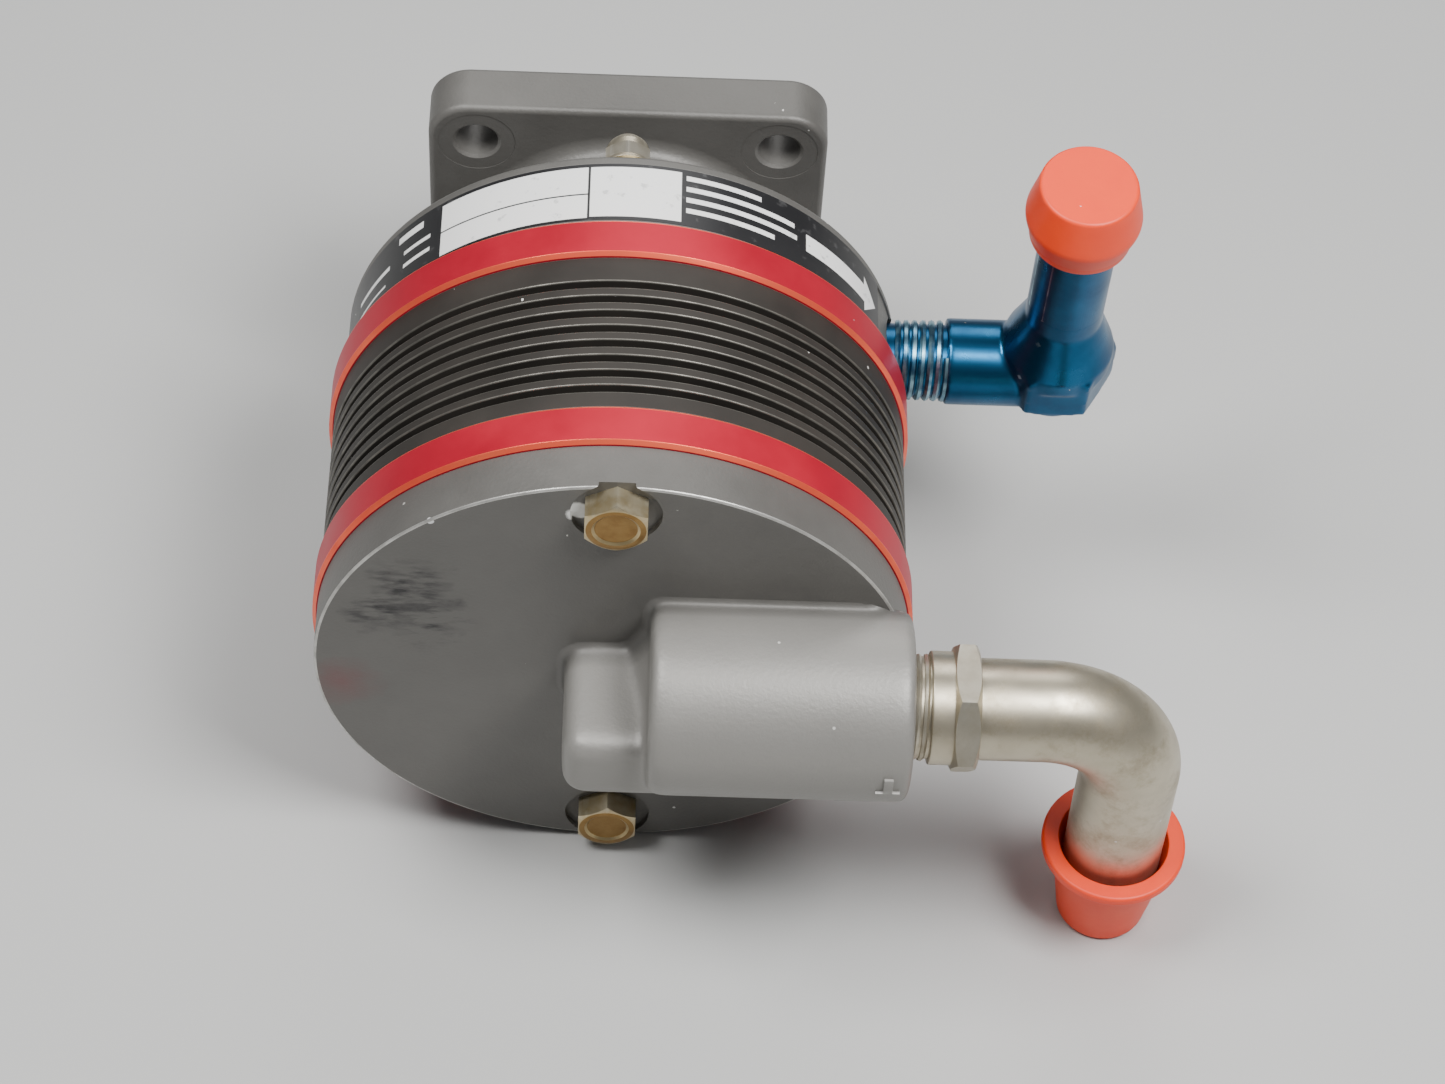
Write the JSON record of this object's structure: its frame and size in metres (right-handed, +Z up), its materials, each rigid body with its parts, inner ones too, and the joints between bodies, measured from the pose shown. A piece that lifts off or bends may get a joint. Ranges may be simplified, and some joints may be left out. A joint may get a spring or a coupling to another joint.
{
  "type": "dry vane vacuum pump",
  "caption": "Engine-driven dry vane vacuum pump with a square stud pad, splined drive, finned ring between red end plates, and capped inlet and outlet elbows.",
  "frame": {"origin": "centre of the mounting face, on the pump's axis", "axes": "+Y out of the mounting face along the drive spline, the body behind it towards -Y; +Z up as the pump lies on its side; +X towards the inlet and outlet fittings"},
  "size_m": [0.1428, 0.1437, 0.1045],
  "materials": {
    "casting": "satin grey coating over cast aluminium",
    "red_anodised": "crimson anodised aluminium, satin",
    "fin_coating": "dark brown-grey coating on machined fins",
    "carbon": "dry graphite carbon, matte",
    "steel": "ground steel",
    "polished_steel": "polished bearing steel",
    "polymer": "natural moulded polymer",
    "brass_cage": "pressed brass",
    "gold_plate": "yellow passivated plating over steel, worn",
    "blue_anodised": "blue anodised aluminium, glossy",
    "nickel_plate": "warm satin plating",
    "red_plastic": "soft red plastic, semi-gloss",
    "label_foil": "printed black foil"
  },
  "bodies": {
    "housing": {"front_housing": "casting", "front_plate": "red_anodised", "cam_ring": "fin_coating", "rear_plate": "red_anodised", "rear_cover": "casting", "front_bush": "carbon", "rear_bush": "carbon", "bearing_outer_race": "steel", "bearing_shields": "steel", "retaining_ring": "steel", "through_bolts": "gold_plate", "nut_washers": "gold_plate", "bolt_nuts": "gold_plate", "dowel_pins": "steel", "inlet_elbow": "blue_anodised", "outlet_adapter": "nickel_plate", "outlet_pipe": "nickel_plate", "data_label": "label_foil"},
    "rotor_group": {"rotor": "carbon", "rotor_shaft": "steel", "drive_spline": "steel", "shear_coupling": "polymer", "shear_pins": "steel", "bearing_inner_race": "steel"},
    "ball_cage": {"bearing_balls": "polished_steel", "bearing_cage": "brass_cage"},
    "vane_1": {"vane_1": "carbon"},
    "vane_2": {"vane_2": "carbon"},
    "vane_3": {"vane_3": "carbon"},
    "vane_4": {"vane_4": "carbon"},
    "vane_5": {"vane_5": "carbon"},
    "vane_6": {"vane_6": "carbon"},
    "inlet_plug": {"inlet_cap": "red_plastic"},
    "outlet_plug": {"outlet_cap": "red_plastic"}
  },
  "joints": [
    {"name": "rotor_spin", "type": "hinge", "parent": "housing", "child": "rotor_group", "pos_m": [0, -0.0538, 0], "axis": [0, 1, 0], "continuous": true},
    {"name": "cage_spin", "type": "hinge", "parent": "housing", "child": "ball_cage", "pos_m": [0, -0.011, 0], "axis": [0, 1, 0], "continuous": true},
    {"name": "vane_1_slide", "type": "slide", "parent": "rotor_group", "child": "vane_1", "axis": [0.975, 0, 0.2222], "range_m": [0, 0.0048]},
    {"name": "vane_2_slide", "type": "slide", "parent": "rotor_group", "child": "vane_2", "axis": [0.6799, 0, -0.7333], "range_m": [0, 0.001]},
    {"name": "vane_3_slide", "type": "slide", "parent": "rotor_group", "child": "vane_3", "axis": [-0.295, 0, -0.9555], "range_m": [0, 0.001]},
    {"name": "vane_4_slide", "type": "slide", "parent": "rotor_group", "child": "vane_4", "axis": [-0.975, 0, -0.2222], "range_m": [0, 0.0048]},
    {"name": "vane_5_slide", "type": "slide", "parent": "rotor_group", "child": "vane_5", "axis": [-0.6799, 0, 0.7333], "range_m": [0, 0.001]},
    {"name": "vane_6_slide", "type": "slide", "parent": "rotor_group", "child": "vane_6", "axis": [0.295, 0, 0.9555], "range_m": [0, 0.001]},
    {"name": "inlet_cap_pull", "type": "slide", "parent": "housing", "child": "inlet_plug", "axis": [0, -0.1045, 0.9945], "range_m": [0, 0.025]},
    {"name": "outlet_cap_pull", "type": "slide", "parent": "housing", "child": "outlet_plug", "axis": [0, 0, -1], "range_m": [0, 0.025]}
  ],
  "couplings": [
    {"joint": "cage_spin", "follows": "rotor_spin", "ratio": 0.3825}
  ]
}
